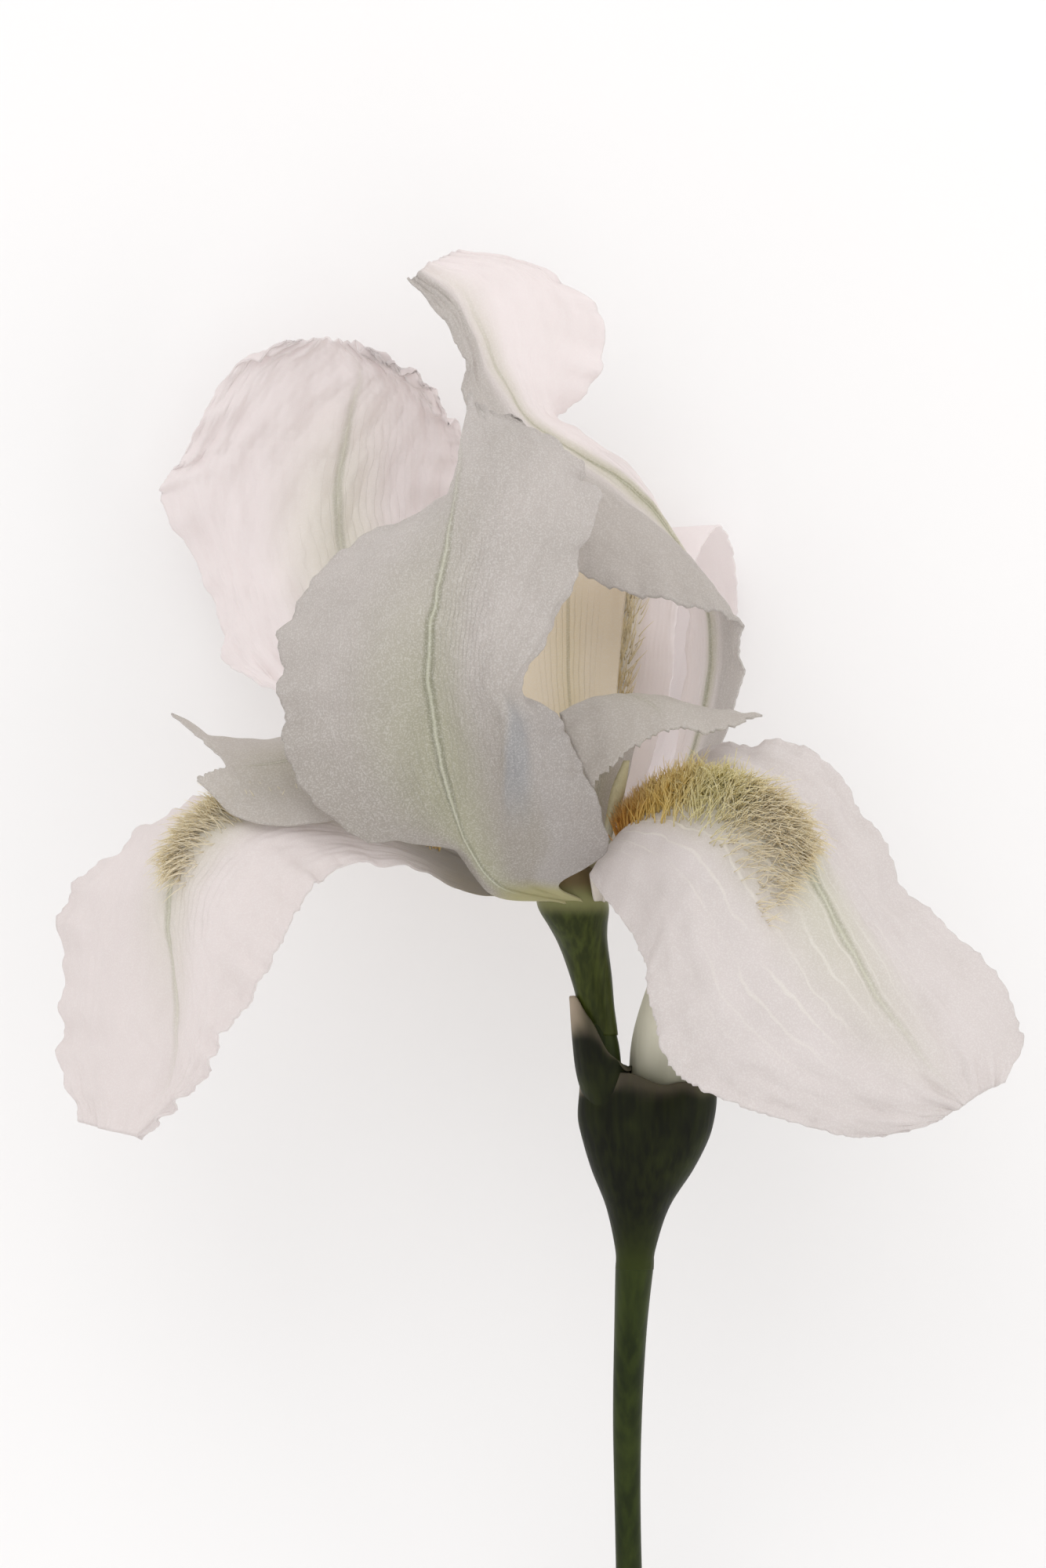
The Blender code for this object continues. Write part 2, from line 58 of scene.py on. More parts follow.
class Value:
    """One number inside a material's nodes, so that sums on it read as plain arithmetic."""

    def __init__(self, finish, socket):
        self.finish = finish
        self.socket = socket

    def math(self, operation, *others):
        return self.finish.number("ShaderNodeMath", {"operation": operation}, [self, *others])

    def __add__(self, other):
        return self.math("ADD", other)

    def __sub__(self, other):
        return self.math("SUBTRACT", other)

    def __mul__(self, other):
        return self.math("MULTIPLY", other)

    def __rsub__(self, other):
        return (self * -1.0) + other

    __radd__ = __add__
    __rmul__ = __mul__

    def ramp(self, low, high):
        """0 below low and 1 above high, easing in and out between them."""
        settings = {"interpolation_type": "SMOOTHSTEP"}
        return self.finish.number("ShaderNodeMapRange", settings, [self, float(low), float(high)])


class Finish:
    """A node material: a Principled shader, and the colours, bumps and roughness that feed it."""

    def __init__(self, name, roughness, through=0.0, through_colour=(1, 1, 1)):
        self.material = bpy.data.materials.new(name)
        self.material.use_nodes = True
        self.tree = self.material.node_tree
        self.shader = self.tree.nodes["Principled BSDF"]
        self.shader.inputs["Roughness"].default_value = roughness
        self.shader.inputs["Specular IOR Level"].default_value = 0.15
        if through:
            glow = self.tree.nodes.new("ShaderNodeBsdfTranslucent")
            glow.inputs["Color"].default_value = (*through_colour, 1)
            mix = self.tree.nodes.new("ShaderNodeMixShader")
            mix.inputs[0].default_value = through
            self.tree.links.new(self.shader.outputs[0], mix.inputs[1])
            self.tree.links.new(glow.outputs[0], mix.inputs[2])
            output = self.tree.nodes["Material Output"]
            self.tree.links.new(mix.outputs[0], output.inputs["Surface"])

    def node(self, kind, settings, sockets):
        """A node of that kind with its settings, its inputs set to or linked from sockets in order."""
        node = self.tree.nodes.new(kind)
        for setting, value in settings.items():
            setattr(node, setting, value)
        for place, value in (sockets.items() if isinstance(sockets, dict) else enumerate(sockets)):
            if isinstance(value, Value):
                self.tree.links.new(value.socket, node.inputs[place])
            elif isinstance(value, bpy.types.NodeSocket):
                self.tree.links.new(value, node.inputs[place])
            else:
                node.inputs[place].default_value = value
        return node

    def number(self, kind, settings, sockets):
        return Value(self, self.node(kind, settings, sockets).outputs[0])

    def map_place(self):
        """Where a point is across and along its piece, as two numbers from 0 to 1."""
        uv = self.node("ShaderNodeUVMap", {"uv_map": "map"}, [])
        parts = self.node("ShaderNodeSeparateXYZ", {}, [uv.outputs[0]])
        return Value(self, parts.outputs[0]), Value(self, parts.outputs[1])

    def speckle(self, size, detail=2.0, stretch=(1, 1, 1)):
        """Soft noise from 0 to 1 whose spots are about size millimetres."""
        place = self.node("ShaderNodeTexCoord", {}, [])
        spread_out = self.node("ShaderNodeVectorMath", {"operation": "MULTIPLY"},
                               [place.outputs["Object"], stretch])
        sockets = {"Vector": spread_out.outputs[0], "Scale": 1 / (size * MM), "Detail": detail}
        return Value(self, self.node("ShaderNodeTexNoise", {}, sockets).outputs[0])

    def blend(self, amount, first, second):
        """A colour between two others: first where amount is 0, second where it is 1."""
        def paint(colour):
            return (*colour, 1) if isinstance(colour, tuple) else colour
        return self.node("ShaderNodeMix", {"data_type": "RGBA"},
                         {0: amount, 6: paint(first), 7: paint(second)}).outputs[2]

    def colour(self, socket):
        self.tree.links.new(socket, self.shader.inputs["Base Color"])

    def rough(self, value):
        self.tree.links.new(value.socket, self.shader.inputs["Roughness"])

    def bump(self, height, depth):
        """Relief of that depth in millimetres where height goes from 0 to 1."""
        node = self.node("ShaderNodeBump", {}, {"Distance": depth * MM, "Height": height})
        self.tree.links.new(node.outputs[0], self.shader.inputs["Normal"])


def along(knots, t):
    """Points at the fractions t of a smooth run through the knots (a Catmull-Rom cubic)."""
    knots = np.asarray(knots, dtype=float)
    ends = np.concatenate([[2 * knots[0] - knots[1]], knots, [2 * knots[-1] - knots[-2]]])
    place_on = np.clip(t, 0, 1) * (len(knots) - 1)
    first = np.minimum(place_on.astype(int), len(knots) - 2)
    part = (place_on - first).reshape(-1, *([1] * (knots.ndim - 1)))
    a, b, c, d = (ends[first + k] for k in range(4))
    return 0.5 * (2 * b + (c - a) * part + (2 * a - 5 * b + 4 * c - d) * part**2
                  + (3 * b - a - 3 * c + d) * part**3)


def grid_faces(rows, columns, wrap):
    """Quads over a grid of rows by columns points, joined round its columns if wrap."""
    i, j = np.meshgrid(np.arange(rows - 1), np.arange(columns - (not wrap)), indexing="ij")
    k = (j + 1) % columns
    return np.stack([i * columns + j, i * columns + k, (i + 1) * columns + k, (i + 1) * columns + j],
                    axis=-1).reshape(-1, 4)


def piece(name, points, faces, uv, finish, node, thick=0.0, caps=()):
    """A finished piece from points in millimetres round the heart, with its map and material."""
    mesh = bpy.data.meshes.new(name)
    faces = [tuple(face) for face in faces.tolist()] + [tuple(cap) for cap in caps]
    mesh.from_pydata((np.asarray(points) * MM + HEART).tolist(), [], faces)
    layer = mesh.uv_layers.new(name="map")
    corners = np.zeros(len(mesh.loops), dtype=np.int32)
    mesh.loops.foreach_get("vertex_index", corners)
    layer.data.foreach_set("uv", np.asarray(uv, dtype=np.float32)[corners].ravel())
    shape = bmesh.new()
    shape.from_mesh(mesh)
    bmesh.ops.recalc_face_normals(shape, faces=shape.faces)
    shape.to_mesh(mesh)
    shape.free()
    mesh.shade_smooth()
    mesh.materials.append(finish.material)
    thing = bpy.data.objects.new(name, mesh)
    bpy.context.scene.collection.objects.link(thing)
    if thick:
        skin = thing.modifiers.new("thickness", "SOLIDIFY")
        skin.thickness = thick * MM
        skin.offset = 0
    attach(thing, "root")
    if node:
        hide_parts(node)
    return thing


def rings(sections, steps, sides):
    """Oval rings up a stalk: each middle plus its two half widths times cosine and sine.

    A section holds a middle (x, y, z), then the half widths to the side and to the front.
    """
    rows = along(sections, np.linspace(0, 1, steps))
    angle = np.linspace(0, ROUND, sides, endpoint=False)
    points = np.stack([rows[:, None, 0] + rows[:, None, 3] * np.cos(angle),
                       np.repeat(rows[:, None, 1], sides, axis=1),
                       rows[:, None, 2] + rows[:, None, 4] * np.sin(angle)], axis=-1)
    turn, up = np.meshgrid(angle / ROUND, np.linspace(0, 1, steps))
    return points, np.stack([turn, up], axis=-1), angle


def stalk(name, sections, steps, finish, sides=48, wobble=0.0):
    """A solid stalk with flat ends, its skin moved out and in by wobble times two slow sines."""
    points, uv, angle = rings(sections, steps, sides)
    if wobble:
        up = np.linspace(0, 1, steps)[:, None]
        swell = wobble * (np.sin(3 * angle + 9 * up) + np.sin(2 * angle - 23 * up + 1))
        points[..., 0] += swell * np.cos(angle)
        points[..., 2] += swell * np.sin(angle)
    last = (steps - 1) * sides
    caps = [range(sides), range(last, last + sides)]
    return piece(name, points.reshape(-1, 3), grid_faces(steps, sides, True), uv.reshape(-1, 2),
                 finish, name.replace("_skin", ""), caps=caps)


stalk_green = Finish("stalk_green", 0.42)
flecks = stalk_green.speckle(1.2, 4.0, (1, 0.12, 1))
blotch = stalk_green.speckle(9)
deep = stalk_green.blend(flecks.ramp(0.3, 0.75), (0.01, 0.016, 0.001), (0.026, 0.038, 0.004))
stalk_green.colour(stalk_green.blend(blotch.ramp(0.35, 0.75) * 0.5, deep, (0.04, 0.055, 0.008)))
stalk_green.bump(flecks.socket, 0.05)

STEM_STEPS = 120
stalk("stem_skin", [
    (7.8, -43.6, -6.9, 2.2, 2.2), (7.8, -45, -7.2, 2.35, 2.35), (7.75, -46.5, -7.5, 2.45, 2.45),
    (7.6, -48.5, -7.9, 2.42, 2.42), (7.2, -56, -10, 2.15, 2.15), (6.9, -66, -13.5, 1.9, 1.9),
    (6.9, -76, -17.5, 1.75, 1.75), (7.2, -90, -23, 1.75, 1.75), (7.8, -110, -31, 1.85, 1.85),
    (8.6, -130, -38.6, 1.95, 1.95), (9.4, -150, -43.7, 2, 2),
], STEM_STEPS, stalk_green, wobble=0.03)

# Perianth tube and ovary: the flower's green neck. The tube widens to the rim that carries the
# petals and closes over in the brown throat; the ovary swells below it inside the sheath.

tube_green = Finish("tube_green", 0.4)
_, up = tube_green.map_place()
streak = tube_green.speckle(0.8, 4.0, (1, 0.15, 1))
body = tube_green.blend(streak.ramp(0.3, 0.75), (0.02, 0.026, 0.003), (0.05, 0.062, 0.01))
pale = tube_green.blend(up.ramp(0.48, 0.6), body, (0.2, 0.2, 0.085))
tube_green.colour(tube_green.blend(up.ramp(0.62, 0.75), pale, (0.17, 0.125, 0.06)))
tube_green.bump(streak.socket, 0.06)

TUBE_STEPS = 90
OVARY_STEPS = 60
stalk("perianth_tube_skin", [
    (3, -17, -2.5, 2.42, 2.42), (2.4, -12, -1.9, 2.5, 2.5), (1.4, -7, -1.2, 2.9, 2.9),
    (0.4, -3, -0.5, 3.8, 3.8), (-0.3, 0, 0, 4.6, 4.6), (-0.8, 2.6, 0.4, 4.4, 4.4),
    (-1.1, 4.8, 0.8, 3, 3), (-1.2, 5.8, 1, 0.8, 0.8),
], TUBE_STEPS, tube_green, wobble=0.08)
stalk("ovary_skin", [
    (7.2, -42.6, -6.6, 1.2, 1.2), (6, -36, -5.4, 2, 2), (4.9, -30, -4.4, 2.3, 2.3),
    (4, -24, -3.5, 2.4, 2.4), (3.2, -18.5, -2.7, 2.38, 2.38), (2.7, -15, -2.2, 2.2, 2.2),
], OVARY_STEPS, stalk_green, wobble=0.05)

# Bud: a second flower still rolled up, cream with a dark green foot that stands in the outer
# sheath. The edges of its furled petals show as three grooves wound in a twist.

bud_cream = Finish("bud_cream", 0.5, 0.2, (0.8, 0.78, 0.62))
_, up = bud_cream.map_place()
fibre = bud_cream.speckle(0.7, 3.0, (1, 0.1, 1))
cream = bud_cream.blend(fibre * 0.5, (0.72, 0.69, 0.56), (0.86, 0.84, 0.74))
bud_cream.colour(bud_cream.blend(up.ramp(0.34, 0.66), (0.03, 0.036, 0.006), cream))
bud_cream.bump(fibre.socket, 0.1)

BUD = [
    (10.3, -40.4, -6, 0.7, 0.7), (10.8, -36, -5.4, 1.9, 2), (11.2, -30, -4.8, 3.6, 3.3),
    (11.3, -24, -4.4, 4.3, 3.9), (11.5, -18, -4, 4.3, 4.1), (12.1, -12, -3.6, 3.5, 3.6),
    (12.9, -6, -3.4, 2.1, 2.3), (13.6, -1.5, -3.2, 0.5, 0.5),
]
BUD_STEPS = 120
BUD_SIDES = 72
FURL_DEPTH = 0.5
bud_points, bud_uv, bud_angle = rings(BUD, BUD_STEPS, BUD_SIDES)
bud_up = np.linspace(0, 1, BUD_STEPS)[:, None]
groove = np.abs(np.sin(1.5 * bud_angle + 4 * bud_up)) ** 6
furl = -FURL_DEPTH * groove * np.sin(np.pi * bud_up)
bud_points[..., 0] += furl * np.cos(bud_angle)
bud_points[..., 2] += furl * np.sin(bud_angle)
bud_last = (BUD_STEPS - 1) * BUD_SIDES
piece("bud_skin", bud_points.reshape(-1, 3), grid_faces(BUD_STEPS, BUD_SIDES, True),
      bud_uv.reshape(-1, 2), bud_cream, "bud",
      caps=[range(BUD_SIDES), range(bud_last, bud_last + BUD_SIDES)])

# Sheathing leaves: two dark green spathes, one inside the other, that wrap the ovary and the bud
# and grow from the top of the stem. Each has a dry papery margin, widest on the left.

sheath_green = Finish("sheath_green", 0.45, 0.12, (0.5, 0.55, 0.2))
turn, up = sheath_green.map_place()
fibre = sheath_green.speckle(0.7, 4.0, (1, 0.08, 1))
patch = sheath_green.speckle(6)
leaf = sheath_green.blend(fibre.ramp(0.3, 0.7), (0.003, 0.0035, 0.0004), (0.012, 0.015, 0.002))
leaf = sheath_green.blend(patch.ramp(0.45, 0.8) * 0.6, leaf, (0.035, 0.045, 0.008))
leaf = sheath_green.blend(1.0 - up.ramp(0.02, 0.3), leaf, (0.03, 0.04, 0.005))
left_side = turn.ramp(0.3, 0.45) * (1.0 - turn.ramp(0.6, 0.75))
dry = (up + (patch - 0.5) * 0.2).ramp(0.8, 0.97) * (0.12 + left_side * 0.7)
sheath_green.colour(sheath_green.blend(dry, leaf, (0.5, 0.4, 0.3)))
sheath_green.bump(fibre.socket, 0.08)


def sheath(name, sections, wall, steps, sides=96):
    """An open sleeve: oval rings with a wall, the inner face being the outer one shrunk by it.

    A section ends in its lean, the rise of the ring on the right for each millimetre of width;
    towards the mouth small sines of the angle make the rim wavy and the wall slightly keeled.
    """
    rows = along(sections, np.linspace(0, 1, steps))
    points, uv, angle = rings(sections, steps, sides)
    rise = np.linspace(0, 1, steps)[:, None] ** 4
    points[..., 1] += rows[:, None, 5] * rows[:, None, 3] * np.cos(angle)
    points[..., 1] += rise * (0.5 * np.sin(3 * angle + 1) + 0.25 * np.sin(8 * angle))
    keel = 1 + 0.03 * rise * np.sin(5 * angle)
    middle = rows[:, None, :3]
    outer = middle + (points - middle) * np.stack([keel, np.ones_like(keel), keel], axis=-1)
    shrink = np.stack([1 - wall / rows[:, 3], np.ones(steps), 1 - wall / rows[:, 4]], axis=-1)
    inner = (middle + (outer - middle) * shrink[:, None])[::-1]
    both = np.concatenate([outer, inner]).reshape(-1, 3)
    faces = grid_faces(2 * steps, sides, True)
    last = (2 * steps - 1) * sides
    turn = np.arange(sides)
    seam = np.stack([last + turn, last + (turn + 1) % sides, (turn + 1) % sides, turn], axis=-1)
    both_uv = np.concatenate([uv, uv[::-1]]).reshape(-1, 2)
    return piece(name + "_leaf", both, np.concatenate([faces, seam]), both_uv, sheath_green,
                 name)


INNER_WALL = 0.2
INNER_STEPS = 60
sheath("spathe_inner", [
    (6.9, -41, -6.4, 1.9, 1.9, 0), (6, -36, -5.4, 2.7, 2.9, 0), (4.9, -30, -4.4, 3, 3.2, 0),
    (4.5, -27, -4, 3, 3.3, 0), (3.6, -22, -3.2, 3.5, 3.8, 0), (3.4, -19, -2.7, 3.9, 4, -0.6),
    (3.2, -17, -2.4, 4, 3.9, -1.35),
], INNER_WALL, INNER_STEPS)
OUTER_WALL = 0.25
OUTER_STEPS = 90
sheath("spathe_outer", [
    (7.7, -47.6, -7.7, 2.5, 2.5, 0), (7.8, -45, -7.2, 2.62, 2.6, 0), (8.1, -39.5, -6.4, 4.1, 4, 0),
    (8.7, -34.6, -5.8, 6.6, 5, 0), (9.1, -30.6, -5.2, 8.2, 5.5, 0), (9.2, -27.6, -4.8, 8.9, 5.6, 0),
    (9.4, -24.6, -4.4, 8.9, 5.1, -0.05), (9.3, -22.4, -4.2, 8.6, 4.5, -0.1),
], OUTER_WALL, OUTER_STEPS)

# Front standard: the large near petal, folded along its green midrib, its outer face satin and
# painted grey as shade. It grows from the front of the tube's rim, with a pleated left lobe and a
# flap low on the right; its low part and that flap are painted darker as shade, with a painted
# shadow down the fold beside the flap.

HEAD_MIDDLE = (-6.8, 15.5, 14.0)
DEPTH_SPREAD = 1 / 1111
RIM_RING = 4.3
CLAW_SEAT = 0.6
PETAL_CLAW = 1.6
PETAL_SKIN = 0.3
MARGIN_NICK = 0.012
RIB_WIDTH = 0.022
PETAL_ROWS = 170
PETAL_LANES = 141


def spread(points):
    """Spread points about the head's middle: 1/1111 wider for each millimetre behind it."""
    points = np.array(points, dtype=float)
    wider = 1 - (points[..., 2] - HEAD_MIDDLE[2]) * DEPTH_SPREAD
    for axis in (0, 1):
        points[..., axis] = HEAD_MIDDLE[axis] + (points[..., axis] - HEAD_MIDDLE[axis]) * wider
    return points


def claw(azimuth, radius, half_width, count):
    """The first former of a sheet: a straight row just clear of the tube's rim, at that bearing."""
    turn = math.radians(azimuth)
    side = np.linspace(-half_width, half_width, count)
    return np.stack([radius * math.sin(turn) + side * math.cos(turn), np.full(count, CLAW_SEAT),
                     radius * math.cos(turn) - side * math.sin(turn)], axis=-1)


def surface(formers, u, v):
    """The points of a sheet through its formers at the fractions u along it and v across it."""
    lengthwise = along(spread(formers), u)
    return np.swapaxes(along(np.swapaxes(lengthwise, 0, 1), v), 0, 1)


def upright(points):
    """The unit direction square to a grid of points: its lengthwise step crossed with its
    crosswise step."""
    normal = np.cross(np.gradient(points, axis=0), np.gradient(points, axis=1))
    return normal / np.maximum(np.linalg.norm(normal, axis=-1, keepdims=True), 1e-9)


def waves(t, count, seed):
    """An uneven wave along t: five sines near count cycles, with seeded phases and strengths."""
    chance = np.random.default_rng(seed)
    total = np.zeros_like(t)
    for share in (0.45, 0.8, 1.0, 1.45, 2.3):
        total += chance.uniform(0.3, 1) * np.sin(ROUND * count * share * t + chance.uniform(0, ROUND))
    return total / 2.2


def crinkle(u, v, size, seed):
    """Small uneven dents over a sheet: seven products of seeded slanting sines, size across."""
    chance = np.random.default_rng(seed)
    total = np.zeros_like(u)
    for _ in range(7):
        a, b = chance.normal(0, 1 / size, 2)
        c, d = chance.uniform(0, ROUND, 2)
        total += np.sin(ROUND * (a * u + b * v) + c) * np.sin(ROUND * (b * u - a * v) * 0.6 + d)
    return total / 3


def petal(name, azimuth, rows, finish, seed, rib_at=0.5, ruffle=1.0, frill=8, dents=0.5,
          rib=0.35, rib_side=1, extra=None):
    """A petal through its formers, lifted off its surface and nicked along its margins.

    The lift is a wave that grows with the cube of the distance from the middle, a finer one with
    its seventh power, a wave at the tip, dents of two sizes and a bell-shaped ridge at rib_at.
    """
    formers = [claw(azimuth, RIM_RING, PETAL_CLAW, len(rows[0])), *rows]
    u = np.linspace(0, 1, PETAL_ROWS)
    v = np.linspace(0, 1, PETAL_LANES)
    points = surface(formers, u, v)
    normal = upright(points)
    long, wide = np.meshgrid(u, v, indexing="ij")
    side = 2 * wide - 1
    grown = np.clip((long - 0.12) / 0.25, 0, 1)
    edge = np.abs(side)
    wave = np.where(side < 0, waves(long, frill, seed), waves(long, frill, seed + 1))
    lift = ruffle * grown * edge**3 * wave
    lift += 0.35 * ruffle * grown * edge**7 * np.where(
        side < 0, waves(long, frill * 3.1, seed + 2), waves(long, frill * 3.1, seed + 3))
    lift += 0.5 * ruffle * np.clip((long - 0.8) / 0.2, 0, 1) ** 2 * waves(wide, 4, seed + 4)
    lift += dents * grown * crinkle(long, wide, 0.22, seed + 5)
    lift += 0.3 * dents * grown * crinkle(long, wide, 0.08, seed + 6)
    lift += rib_side * rib * np.exp(-((wide - rib_at) / 0.0175) ** 2) * (1 - 0.75 * long)
    if extra is not None:
        lift += extra(long, wide, side)
    points = points + normal * lift[..., None]
    outward = np.gradient(points, axis=1) * (PETAL_LANES - 1) / 2 * np.sign(side)[..., None]
    nick = MARGIN_NICK * grown * edge**12 * np.where(
        side < 0, waves(long, frill * 5, seed + 7), waves(long, frill * 5, seed + 8))
    points = points + outward * nick[..., None]
    uv = np.stack([wide, long], axis=-1)
    faces = grid_faces(PETAL_ROWS, PETAL_LANES, False)
    return piece(name + "_petal", points.reshape(-1, 3), faces, uv.reshape(-1, 2), finish, name,
                 thick=PETAL_SKIN)


def petal_finish(name, pale, shade, green, through, veins, rib_at=0.5, green_width=0.22,
                 green_reach=0.9, foot=(0.45, 0.42, 0.22), foot_reach=0.12, vein_tint=0.25,
                 through_colour=(0.95, 0.92, 0.91), low_shade=None, near_shade=None, flap_shade=None):
    """Satin petal skin: pale, greener by the midrib, fine fanning veins and a fine cell grain whose
    paler specks are painted glitter, a painted highlight.

    low_shade paints shade over the lower part and the near grey paints shade over the left third;
    the lower right lobe gets a darker colour as painted shade, with a painted shadow down the fold
    beside it. foot is the colour of the claw.
    """
    skin = Finish(name, 0.52, through, through_colour)
    across, reach = skin.map_place()
    drift = (skin.speckle(6, 2.0) - 0.5) * 0.03
    off_rib = ((across - rib_at) + drift * reach).math("ABSOLUTE")
    cloud = skin.speckle(11, 3.0).ramp(0.3, 0.7)
    colour = skin.blend(cloud * 0.45, pale, shade)
    # Painted shade: the lower part of the petal darker.
    if low_shade:
        colour = skin.blend((1.0 - reach.ramp(0.18, 0.66)) * 0.85, colour, low_shade)
    # Painted shade: the left third greyed.
    if near_shade:
        colour = skin.blend(1.0 - across.ramp(0.3, 0.5), colour, near_shade)
    # Painted shade: the lower right flap darker, and a painted shadow down the fold beside it.
    if flap_shade:
        low = 1.0 - reach.ramp(0.4, 0.5)
        colour = skin.blend(across.ramp(0.68, 0.8) * low * 0.8, colour, flap_shade)
        fold = across - reach * 0.8
        fold_shadow = fold.ramp(0.32, 0.38) * (1.0 - fold.ramp(0.44, 0.54))
        colour = skin.blend(fold_shadow * low * reach.ramp(0.2, 0.32) * 0.8, colour, (0.31, 0.315, 0.33))
    wash = (1.0 - off_rib.ramp(0.0, green_width)) * (1.0 - reach.ramp(green_reach * 0.35, green_reach))
    colour = skin.blend(wash * 0.75, colour, green)
    line = ((across + drift * 1.6) * float(veins)).math("PINGPONG", 0.5)
    near = (1.0 - off_rib.ramp(0.12, 0.42)) * skin.speckle(14, 1.0).ramp(0.3, 0.6)
    vein = (1.0 - line.ramp(0.02, 0.1)) * (1.0 - reach.ramp(0.55, 0.95)) * near
    colour = skin.blend(vein * vein_tint, colour, (0.93, 0.9, 0.82))
    stripe = (1.0 - off_rib.ramp(RIB_WIDTH * 0.4, RIB_WIDTH)) * (1.0 - reach.ramp(0.5, 1.0))
    colour = skin.blend(stripe * 0.85, colour, tuple(0.62 * c for c in green))
    core = (1.0 - off_rib.ramp(0.0, RIB_WIDTH * 0.35)) * (1.0 - reach.ramp(0.6, 1.0))
    colour = skin.blend(core * 0.55, colour, (0.82, 0.83, 0.66))
    # Paler specks on the petal's cells are painted glitter, a painted highlight; the same cells also
    # vary its roughness and relief.
    glitter_cells = skin.speckle(0.22, 2.0)
    colour = skin.blend(glitter_cells.ramp(0.45, 0.65) * 0.3, colour, (0.97, 0.95, 0.93))
    colour = skin.blend(1.0 - reach.ramp(foot_reach * 0.5, foot_reach), colour, foot)
    skin.colour(colour)
    skin.rough(0.42 + glitter_cells * 0.25)
    relief = glitter_cells * 0.35 + vein * 0.65
    skin.bump(relief.socket, 0.09)
    return skin


FRONT_STANDARD = [
    [(-10.6, 1.4, 8), (-10.2, 1.8, 9), (-9.5, 2.5, 9.5), (-7.5, 3, 9.6), (-6, 3.2, 9),
     (-4, 3, 8.5), (-2.2, 2.8, 8)],
    [(-16, 7.2, 12), (-14.8, 7, 14), (-13.5, 7.5, 15), (-9.5, 8.5, 18), (-5.5, 8.5, 20),
     (-1, 8, 19), (4, 7.4, 15)],
    [(-27, 8.6, 20), (-21.5, 10.5, 21.5), (-16.1, 14, 22), (-11, 15, 27), (-7.6, 15.5, 31),
     (-3.5, 15, 28), (1.2, 15.3, 21)],
    [(-36, 16.5, 23), (-27, 18.5, 27), (-17.9, 21.5, 29), (-12.5, 22, 33), (-8.8, 22.5, 37),
     (-6, 22.2, 33), (-1.7, 22.8, 25)],
    [(-37.2, 26, 22), (-28.5, 27.5, 30), (-19, 29.5, 35), (-14, 28.8, 37.5), (-10.5, 28.3, 38.5),
     (-8.3, 28.2, 37), (-6.4, 28.8, 34)],
    [(-36.8, 36, 19), (-27.5, 37, 30), (-18.3, 36.5, 38), (-13.5, 36.3, 39), (-9, 36, 38),
     (-5.5, 35.8, 36), (-2.6, 36.4, 33)],
    [(-30, 45.8, 21), (-23.5, 45.5, 30), (-16.8, 44, 37), (-12, 44.5, 38), (-7, 45, 37),
     (-2.5, 45.5, 34), (1.2, 46.2, 30)],
    [(-18, 50, 22), (-17.2, 51, 28), (-15.2, 52.5, 32), (-10.5, 53, 34), (-6, 53.3, 33),
     (-1.5, 53.2, 30), (2.3, 53.2, 26)],
    [(-11.5, 57, 19), (-13.2, 58, 23), (-14.2, 59, 26), (-11, 59.8, 28.5), (-7.5, 60, 28),
     (-4, 59.3, 26), (-0.8, 57.6, 24)],
    [(-12.6, 64, 17.5), (-13.4, 64.4, 18), (-13.9, 65, 18.6), (-12.8, 64.2, 19.5),
     (-11.5, 63.2, 20), (-10, 62.4, 20.5), (-8, 61.6, 21)],
]


def front_pleats(long, wide, side):
    """Pleats in from the left margin: a sine of the place along, inside a bell half way up."""
    half_way = np.exp(-((long - 0.52) / 0.16) ** 2)
    return 0.5 * half_way * np.clip(-side - 0.35, 0, 1) * np.sin(ROUND * (17 * long + 2.5 * wide))


FRONT_RIB = 1 / 3
# Its white is painted grey as shade, darker still at the foot and on the lower right flap.
shaded_satin = petal_finish("front_shaded_satin", (0.58, 0.535, 0.505), (0.44, 0.405, 0.37), (0.42, 0.42, 0.27),
                     0.26, 46, rib_at=FRONT_RIB, vein_tint=0.12, low_shade=(0.3, 0.27, 0.225),
                     flap_shade=(0.4, 0.37, 0.355))
petal("standard_front", -10, FRONT_STANDARD, shaded_satin, 11, rib_at=FRONT_RIB,
      ruffle=1.0, frill=6, dents=0.5, extra=front_pleats, rib_side=-1)

# Back left standard: a broad white petal, thin enough to glow, that grows from the back of the
# rim and leans away, with a soft fold across its low left side.

BACK_LEFT_STANDARD = [
    [(-9, 8.5, -2.5), (-8, 8.8, -4.5), (-7, 9.2, -6), (-5.6, 9.6, -7), (-4.2, 9.8, -8)],
    [(-20, 17, -4), (-18.5, 18, -9.5), (-15.5, 19, -13), (-12, 19.5, -15.5), (-9, 19, -17)],
    [(-37.5, 26.5, -9), (-34, 27.5, -14), (-26, 30, -21), (-19, 30.5, -24), (-12.5, 29, -25)],
    [(-45, 31.5, -24), (-40, 37, -22), (-29.6, 44, -27), (-20.5, 44, -31), (-13, 42, -31)],
    [(-46, 39, -33), (-42.5, 44.5, -29), (-30.4, 52.5, -29.5), (-21.5, 53.5, -33), (-14.5, 53, -34)],
    [(-52.8, 51.5, -34), (-43, 54.5, -31), (-29.6, 59, -30), (-20.8, 60, -32), (-14.4, 59.8, -33)],
    [(-50.2, 57, -32), (-42, 61, -30), (-28.4, 64.5, -29), (-21, 65, -30), (-16.8, 63.2, -31)],
    [(-44.5, 67.5, -28), (-38, 69, -27.5), (-27.6, 68.5, -26.5), (-23.4, 68.6, -27), (-20, 67.2, -28)],
    [(-37, 72.2, -24.5), (-33.5, 72.4, -24), (-30.2, 71.8, -23.8), (-27.5, 71.2, -24),
     (-25.2, 70.2, -24.5)],
]
far_white = petal_finish("far_white", (0.96, 0.89, 0.89), (0.88, 0.81, 0.81), (0.78, 0.78, 0.6),
                         0.42, 40, vein_tint=0.1)
petal("standard_back_left", -130, BACK_LEFT_STANDARD, far_white, 23, ruffle=1.2, frill=7,
      dents=0.7)
